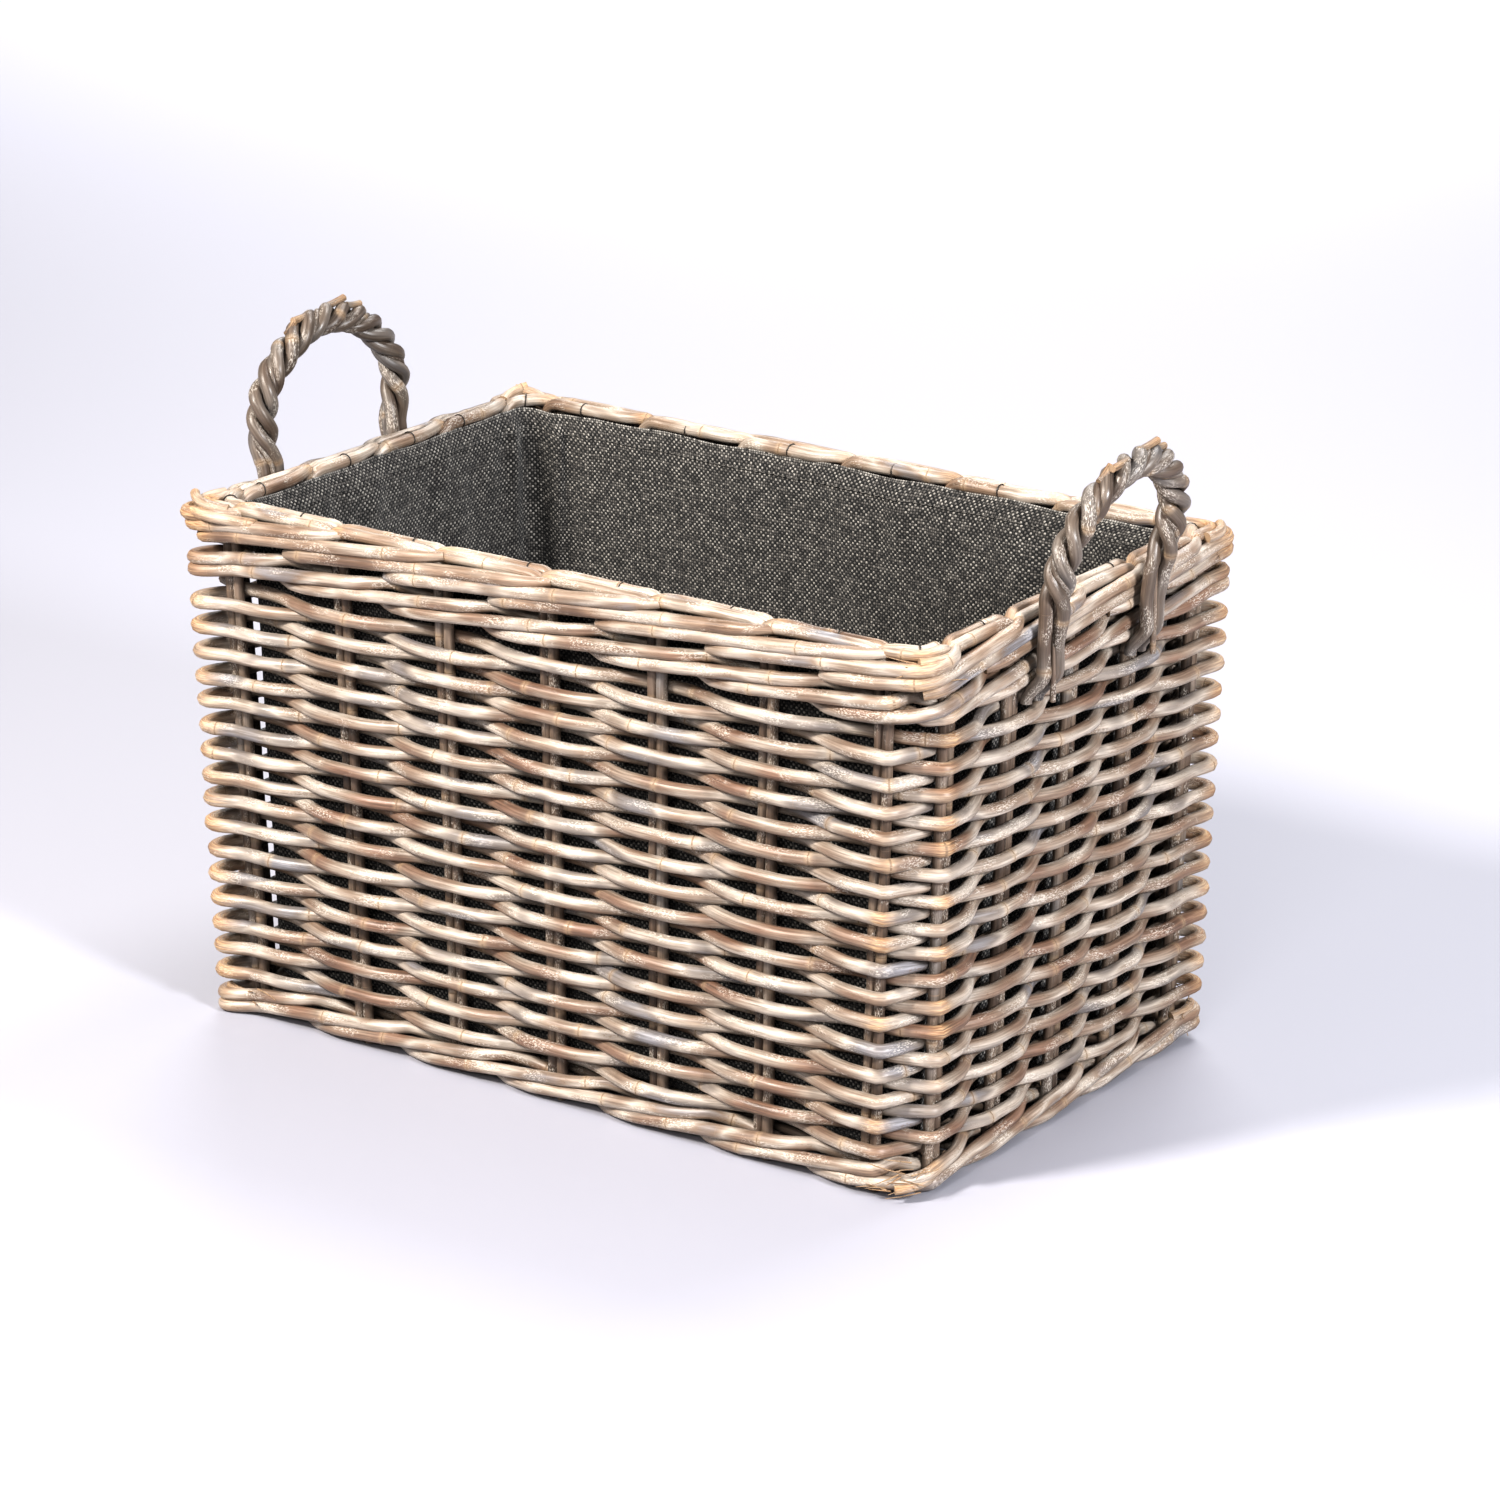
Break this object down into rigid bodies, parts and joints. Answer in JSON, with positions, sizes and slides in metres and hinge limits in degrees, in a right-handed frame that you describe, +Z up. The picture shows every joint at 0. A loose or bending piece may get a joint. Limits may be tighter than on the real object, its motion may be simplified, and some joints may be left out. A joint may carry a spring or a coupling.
{
  "type": "log basket",
  "caption": "Rectangular log basket of woven cane with paired stakes, wales at foot and top, a folded border, two roped hoop handles and a dark cloth liner tied to the rim.",
  "frame": {"origin": "middle of the underside, on the floor", "axes": "+X along the basket from the left handle to the right handle, +Y across it to the back, +Z up"},
  "size_m": [0.6649, 0.3636, 0.4633],
  "materials": {
    "weaver_cane": "weathered peeled cane, satin, greyed and streaked",
    "stake_cane": "browner unbleached cane, dull",
    "wale_cane": "weathered cane, dull, fibrous at the bends",
    "border_cane": "weathered peeled cane, satin",
    "handle_cane": "peeled cane, warm, satin",
    "base_cane": "plain cane, dull",
    "liner_cloth": "open plain weave of coarse charcoal yarn",
    "tie_wire": "thin dark coated wire, matte"
  },
  "bodies": {
    "root": {"base_sticks": "base_cane", "base_weavers": "base_cane", "front_stakes": "stake_cane", "right_stakes": "stake_cane", "back_stakes": "stake_cane", "left_stakes": "stake_cane", "foot_wale_rod_1": "wale_cane", "foot_wale_rod_2": "wale_cane", "foot_wale_rod_3": "wale_cane", "weaver_round_01": "weaver_cane", "weaver_round_02": "weaver_cane", "weaver_round_03": "weaver_cane", "weaver_round_04": "weaver_cane", "weaver_round_05": "weaver_cane", "weaver_round_06": "weaver_cane", "weaver_round_07": "weaver_cane", "weaver_round_08": "weaver_cane", "weaver_round_09": "weaver_cane", "weaver_round_10": "weaver_cane", "weaver_round_11": "weaver_cane", "weaver_round_12": "weaver_cane", "weaver_round_13": "weaver_cane", "weaver_round_14": "weaver_cane", "weaver_round_15": "weaver_cane", "weaver_round_16": "weaver_cane", "top_wale_rod_1": "wale_cane", "top_wale_rod_2": "wale_cane", "top_wale_rod_3": "wale_cane", "border_canes": "border_cane", "rim_canes": "border_cane", "left_handle_core": "stake_cane", "right_handle_core": "stake_cane", "left_handle_strand_1": "handle_cane", "left_handle_strand_2": "handle_cane", "left_handle_strand_3": "handle_cane", "right_handle_strand_1": "handle_cane", "right_handle_strand_2": "handle_cane", "right_handle_strand_3": "handle_cane", "liner_front": "liner_cloth", "liner_right": "liner_cloth", "liner_back": "liner_cloth", "liner_left": "liner_cloth", "liner_base": "liner_cloth", "liner_ties": "tie_wire"}
  },
  "joints": []
}
